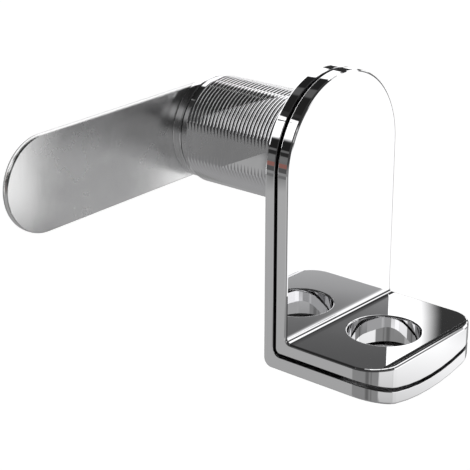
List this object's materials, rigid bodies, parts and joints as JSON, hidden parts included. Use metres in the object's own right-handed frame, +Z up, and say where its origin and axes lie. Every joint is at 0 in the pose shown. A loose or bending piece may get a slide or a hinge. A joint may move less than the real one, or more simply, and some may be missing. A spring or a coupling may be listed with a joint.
{
  "type": "padlockable locker lock",
  "caption": "Quarter-turn cam latch for a locker door whose turning hasp nests over a fixed hasp, so that a padlock's shackle through both holes keeps it shut.",
  "frame": {"origin": "on the barrel's axis, in the plane of the door's front face, which the fixed hasp's back lies on", "axes": "+Z up on the locked lock, with the padlock shelf at the bottom; -Y out of the door towards the user; +Y along the barrel into the locker; -X towards the door frame, where the locking cam points"},
  "size_m": [0.0584, 0.0537, 0.0484],
  "materials": {
    "turning_hasp": "polished chrome plate on cast zinc",
    "fixed_hasp": "polished chrome plate on cast zinc",
    "threaded_barrel": "plated, thread and flats as machined",
    "stop_pin": "ground steel",
    "thrust_washer": "natural nylon",
    "disc_spring": "hardened spring steel",
    "spindle": "zinc-plated, turned",
    "spindle_pin": "ground steel",
    "spindle_seal": "black rubber",
    "stop_washer": "bright plated steel",
    "locking_cam": "bright plated steel with a fine rolled grain",
    "cam_washer": "bright plated steel",
    "lock_washer": "bright plated spring steel",
    "cam_screw": "bright plated steel"
  },
  "bodies": {
    "door_side": {"fixed_hasp": "fixed_hasp", "threaded_barrel": "threaded_barrel", "stop_pin": "stop_pin", "thrust_washer": "thrust_washer"},
    "turning_side": {"turning_hasp": "turning_hasp", "spindle": "spindle", "spindle_pin": "spindle_pin", "spindle_seal": "spindle_seal", "disc_spring": "disc_spring", "stop_washer": "stop_washer", "locking_cam": "locking_cam", "cam_washer": "cam_washer", "lock_washer": "lock_washer", "cam_screw": "cam_screw"}
  },
  "joints": [
    {"name": "hasp_turn", "type": "hinge", "parent": "door_side", "child": "turning_side", "pos_m": [0, 0, 0], "axis": [0, -1, 0], "range_deg": [0, 90]}
  ]
}
